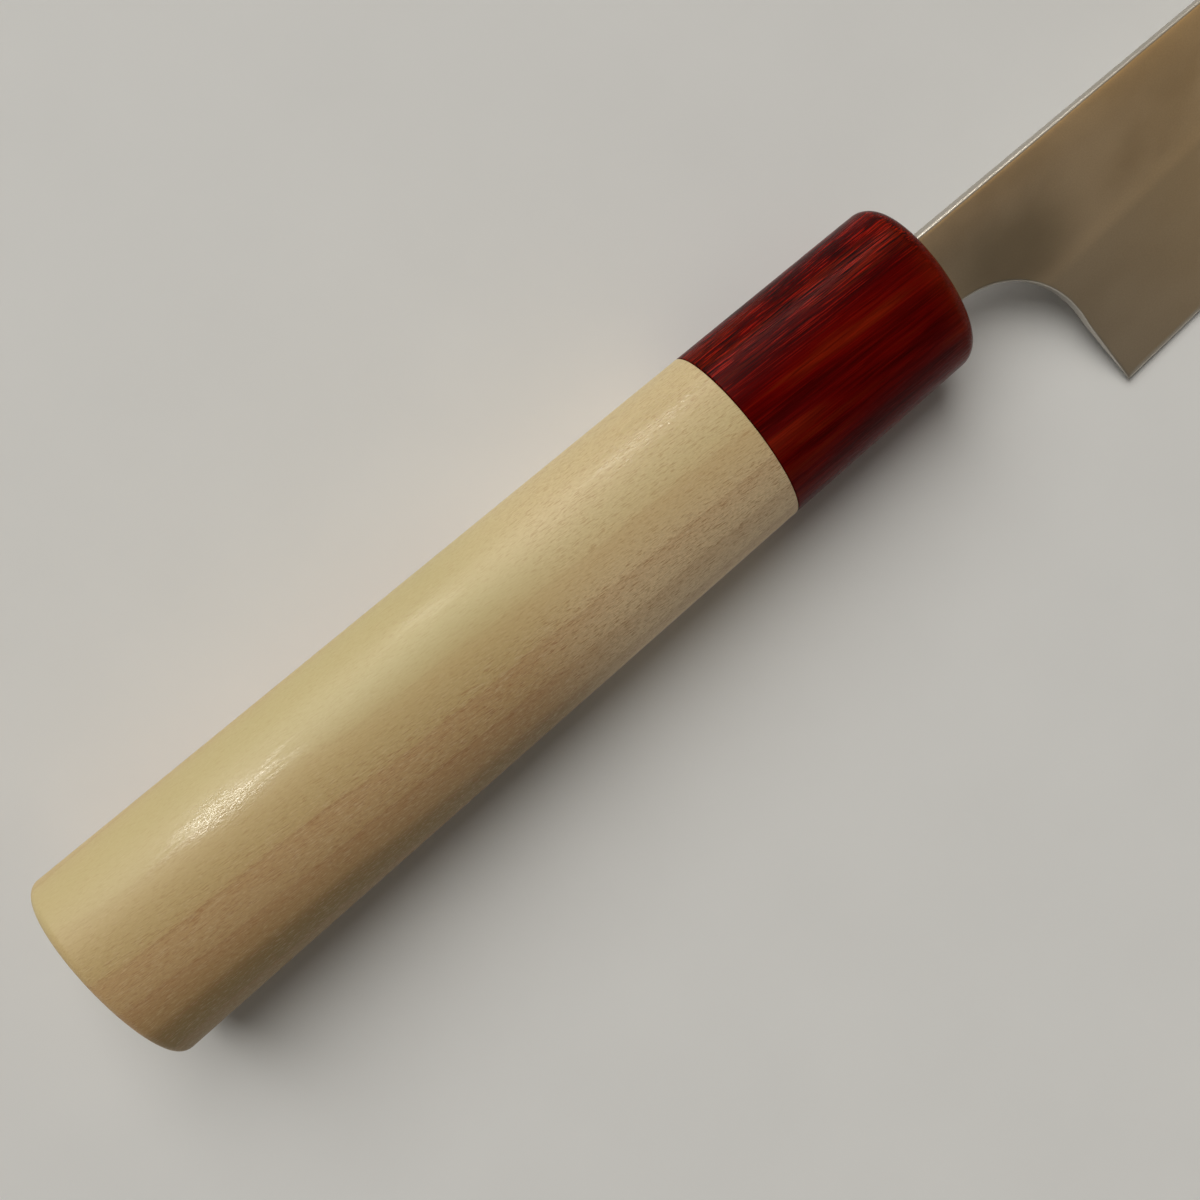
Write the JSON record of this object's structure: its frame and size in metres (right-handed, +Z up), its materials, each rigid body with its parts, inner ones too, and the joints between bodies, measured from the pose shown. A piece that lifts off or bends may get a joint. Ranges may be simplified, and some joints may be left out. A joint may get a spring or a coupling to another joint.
{
  "type": "petty knife",
  "caption": "Petty knife lying on its side: slim double-bevel steel blade with a round choil, red wood ferrule and a tapered oval handle of pale wood, for paring and small kitchen cuts.",
  "frame": {"origin": "centre of the knife's footprint, on the surface that it lies on", "axes": "+X along the handle towards the blade's tip, +Z up out of the surface, +Y from the edge towards the spine; the knife lies on its left side, on the ferrule's rim and the belly of the edge"},
  "size_m": [0.2866, 0.0392, 0.0224],
  "materials": {
    "blade_steel": "satin",
    "red_wood": "gloss",
    "pale_wood": "satin",
    "adhesive": "satin"
  },
  "bodies": {
    "root": {"blade": "blade_steel", "ferrule": "red_wood", "handle_body": "pale_wood", "tang_bedding": "adhesive", "mouth_seal": "adhesive"}
  },
  "joints": []
}
